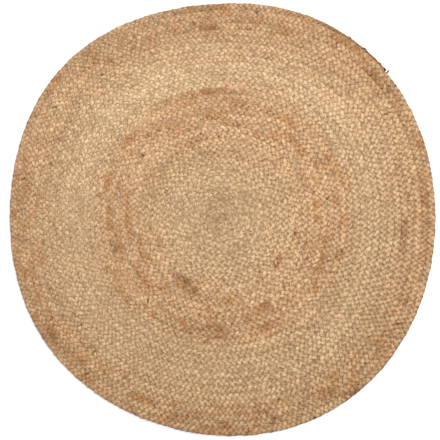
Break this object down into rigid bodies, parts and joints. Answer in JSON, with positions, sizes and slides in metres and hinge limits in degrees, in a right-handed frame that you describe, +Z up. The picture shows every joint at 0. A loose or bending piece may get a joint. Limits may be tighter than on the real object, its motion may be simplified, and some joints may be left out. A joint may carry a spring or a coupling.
{
  "type": "round jute rug",
  "caption": "Flat round rug of jute braid wound in a spiral and sewn edge to edge, with a slightly uneven rim and a tucked braid end.",
  "frame": {"origin": "middle of the outline's box, on the underside that lies on the floor", "axes": "+Z up out of the face; +Y is the rug's longer side, 1.495 m, and +X its shorter, 1.469 m; the braid winds clockwise outwards seen from +Z and its tucked end is on the rim 41 degrees round from +X towards +Y"},
  "size_m": [1.4684, 1.4952, 0.0095],
  "materials": {
    "jute": "matt natural jute fibre in three-strand braid, honey to reddish brown lots"
  },
  "bodies": {
    "root": {"rug": "jute"}
  },
  "joints": []
}
